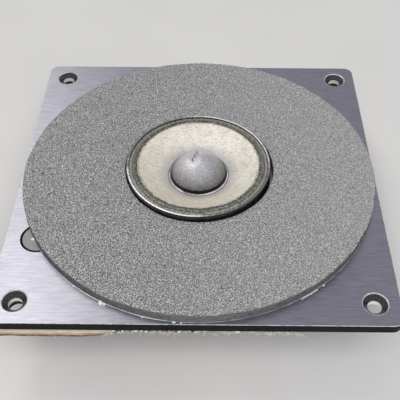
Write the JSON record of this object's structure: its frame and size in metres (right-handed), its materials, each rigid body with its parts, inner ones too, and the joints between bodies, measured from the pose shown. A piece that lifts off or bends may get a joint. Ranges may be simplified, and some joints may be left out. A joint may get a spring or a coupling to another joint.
{
  "type": "cone tweeter",
  "caption": "Square-faced cone tweeter drive unit with a foam disc round its small paper cone, a domed dust cap and a ring magnet behind.",
  "frame": {"origin": "centre of the back plate's underside, where the unit stands on a table", "axes": "+Z along the drive axis from the magnet to the cone, +X to the right and +Y to the back as seen over the edge nearest the badge"},
  "size_m": [0.108, 0.108, 0.0332],
  "materials": {
    "anodised_plate": "black-anodised aluminium, brushed along X",
    "badge_metal": "satin aluminium, blank",
    "clear_adhesive": "dried clear cement, glossy",
    "grey_foam": "fine open-cell polyurethane foam, matt, speckled",
    "gasket_fibre": "torn grey-brown fibre gasket",
    "black_paint": "semi-gloss black paint on pressed steel",
    "black_gloss": "glossy black",
    "zinc_steel": "yellow-passivated zinc plate",
    "doped_cloth": "doped cloth, olive grey, glossy and slightly tacky",
    "spider_cloth": "resin-treated cotton cloth",
    "cone_paper": "uncoated ivory paper pulp, slightly yellowed",
    "cap_paper": "doped grey-violet paper dome, satin",
    "former_paper": "kraft paper former",
    "copper_wire": "enamelled copper winding",
    "dark_cement": "dark brown cement",
    "plated_steel": "turned steel, zinc plated",
    "ferrite": "ground ferrite, dark grey",
    "grey_felt": "grey wool felt",
    "brown_laminate": "brown phenolic paper laminate",
    "tinned_brass": "tinned brass",
    "solder": "tin-lead solder",
    "varnished_sleeve": "varnished cotton sleeving",
    "tinsel": "braided copper tinsel"
  },
  "bodies": {
    "chassis": {"faceplate": "anodised_plate", "badge": "badge_metal", "foam_adhesive": "clear_adhesive", "foam_ring": "grey_foam", "mounting_gasket": "gasket_fibre", "mounting_ring": "black_paint", "frame_screws": "zinc_steel", "basket": "black_paint", "basket_rivets": "zinc_steel", "front_ring": "black_gloss", "surround": "doped_cloth", "spider": "spider_cloth", "top_plate": "plated_steel", "magnet": "ferrite", "back_plate": "plated_steel", "pole_piece": "plated_steel", "pole_felt": "grey_felt", "terminal_board": "brown_laminate", "board_rivets": "zinc_steel", "terminal_tag_positive": "tinned_brass", "terminal_tag_negative": "tinned_brass", "tag_rivets": "zinc_steel", "solder_joints": "solder", "lead_sleeves": "varnished_sleeve", "tinsel_lead_positive": "tinsel", "tinsel_lead_negative": "tinsel"},
    "moving_cone": {"cone": "cone_paper", "dust_cap": "cap_paper", "cap_adhesive": "clear_adhesive", "coil_former": "former_paper", "voice_coil": "copper_wire", "lead_anchors": "dark_cement"}
  },
  "joints": [
    {"name": "cone_travel", "type": "slide", "parent": "chassis", "child": "moving_cone", "axis": [0, 0, 1], "range_m": [-0.0008, 0.0008], "stiffness_N_per_m": 1500, "deforming": ["surround", "spider", "tinsel_lead_positive", "tinsel_lead_negative"]}
  ]
}
